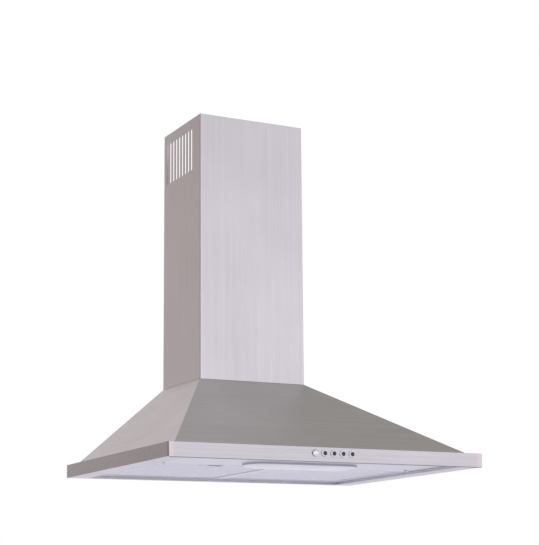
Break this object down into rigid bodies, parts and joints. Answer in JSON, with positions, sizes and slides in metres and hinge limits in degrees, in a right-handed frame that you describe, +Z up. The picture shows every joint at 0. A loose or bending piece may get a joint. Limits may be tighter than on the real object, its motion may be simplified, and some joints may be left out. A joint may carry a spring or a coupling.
{
  "type": "chimney range hood",
  "caption": "Wall-mounted stainless chimney hood with a pyramid canopy, telescopic slotted chimney, push buttons, lamp, hinged grease filters and a double-inlet blower.",
  "frame": {"origin": "midway between the two wall keyholes, on the back panel's wall face", "axes": "+X right, +Y towards the wall, +Z up; the buttons face -Y"},
  "size_m": [0.6, 0.4785, 0.683],
  "materials": {
    "stainless": "fine brushed",
    "galvanised": "galvanised, dull",
    "aluminium": "satin",
    "filter_mesh": "expanded mesh",
    "latch": "satin moulded",
    "chrome": "polished",
    "steel": "plain",
    "bronze": "sintered",
    "black_plastic": "moulded",
    "grey_plastic": "moulded",
    "white_plastic": "moulded",
    "lens": "frosted translucent",
    "bulb": "opal glass",
    "cable": "jacketed"
  },
  "bodies": {
    "canopy": {"rim_band": "stainless", "canopy_pyramid": "stainless", "back_panel": "galvanised", "chimney_cover": "stainless", "chimney_foot_left": "galvanised", "chimney_foot_right": "galvanised", "light_panel": "stainless", "lamp_box": "galvanised", "lamp_holder_left": "white_plastic", "lamp_holder_right": "white_plastic", "bulb_left": "bulb", "bulb_right": "bulb", "filter_rear_rail": "galvanised", "filter_centre_bar": "galvanised", "switch_body": "black_plastic", "scroll_left": "grey_plastic", "scroll_right": "grey_plastic", "inlet_ring_left": "grey_plastic", "inlet_ring_right": "grey_plastic", "motor": "steel", "bearing_inner": "bronze", "bearing_outer": "bronze", "motor_bracket": "galvanised", "blower_bracket_left": "galvanised", "blower_bracket_right": "galvanised", "outlet_collar": "grey_plastic", "flap_pin": "steel", "terminal_box": "black_plastic", "terminal_lid": "black_plastic", "cable_gland": "black_plastic", "capacitor": "white_plastic", "capacitor_clip": "galvanised", "motor_lead": "cable", "switch_lead": "cable"},
    "extension": {"chimney_extension": "stainless", "ceiling_bracket": "galvanised"},
    "lens": {"lamp_lens": "lens"},
    "filter_left": {"filter_frame_left": "aluminium", "filter_mesh_left": "filter_mesh"},
    "filter_right": {"filter_frame_right": "aluminium", "filter_mesh_right": "filter_mesh"},
    "latch_left": {"filter_latch_left": "latch"},
    "latch_right": {"filter_latch_right": "latch"},
    "rotor": {"impeller": "black_plastic", "impeller_shaft": "steel", "hub_nut": "steel"},
    "front_flap": {"flap_front": "aluminium"},
    "rear_flap": {"flap_rear": "aluminium"},
    "push_button_1": {"button_1": "chrome"},
    "push_button_2": {"button_2": "chrome"},
    "push_button_3": {"button_3": "chrome"},
    "push_button_4": {"button_4": "chrome"},
    "push_button_5": {"button_5": "chrome"}
  },
  "joints": [
    {"name": "chimney_slide", "type": "slide", "parent": "canopy", "child": "extension", "axis": [0, 0, 1], "range_m": [0, 0.38]},
    {"name": "lens_hinge", "type": "hinge", "parent": "canopy", "child": "lens", "pos_m": [0, -0.32, -0.21], "axis": [1, 0, 0], "range_deg": [0, 70]},
    {"name": "filter_left_hinge", "type": "hinge", "parent": "canopy", "child": "filter_left", "pos_m": [-0.1308, -0.0128, -0.21], "axis": [1, 0, 0], "range_deg": [0, 70]},
    {"name": "latch_left_slide", "type": "slide", "parent": "filter_left", "child": "latch_left", "axis": [0, 1, 0], "range_m": [0, 0.005], "stiffness_N_per_m": 250},
    {"name": "filter_right_hinge", "type": "hinge", "parent": "canopy", "child": "filter_right", "pos_m": [0.1308, -0.0128, -0.21], "axis": [1, 0, 0], "range_deg": [0, 70]},
    {"name": "latch_right_slide", "type": "slide", "parent": "filter_right", "child": "latch_right", "axis": [0, 1, 0], "range_m": [0, 0.005], "stiffness_N_per_m": 250},
    {"name": "button_1_push", "type": "slide", "parent": "canopy", "child": "push_button_1", "axis": [0, 1, 0], "range_m": [0, 0.0025], "stiffness_N_per_m": 400},
    {"name": "button_2_push", "type": "slide", "parent": "canopy", "child": "push_button_2", "axis": [0, 1, 0], "range_m": [0, 0.0025], "stiffness_N_per_m": 400},
    {"name": "button_3_push", "type": "slide", "parent": "canopy", "child": "push_button_3", "axis": [0, 1, 0], "range_m": [0, 0.0025], "stiffness_N_per_m": 400},
    {"name": "button_4_push", "type": "slide", "parent": "canopy", "child": "push_button_4", "axis": [0, 1, 0], "range_m": [0, 0.0025], "stiffness_N_per_m": 400},
    {"name": "button_5_push", "type": "slide", "parent": "canopy", "child": "push_button_5", "axis": [0, 1, 0], "range_m": [0, 0.0025], "stiffness_N_per_m": 400},
    {"name": "impeller_spin", "type": "hinge", "parent": "canopy", "child": "rotor", "pos_m": [0, -0.1142, -0.101], "axis": [1, 0, 0], "continuous": true},
    {"name": "front_flap_hinge", "type": "hinge", "parent": "canopy", "child": "front_flap", "pos_m": [0, -0.086, 0.0218], "axis": [-1, 0, 0], "range_deg": [0, 75]},
    {"name": "rear_flap_hinge", "type": "hinge", "parent": "canopy", "child": "rear_flap", "pos_m": [0, -0.086, 0.0218], "axis": [1, 0, 0], "range_deg": [0, 75]}
  ]
}
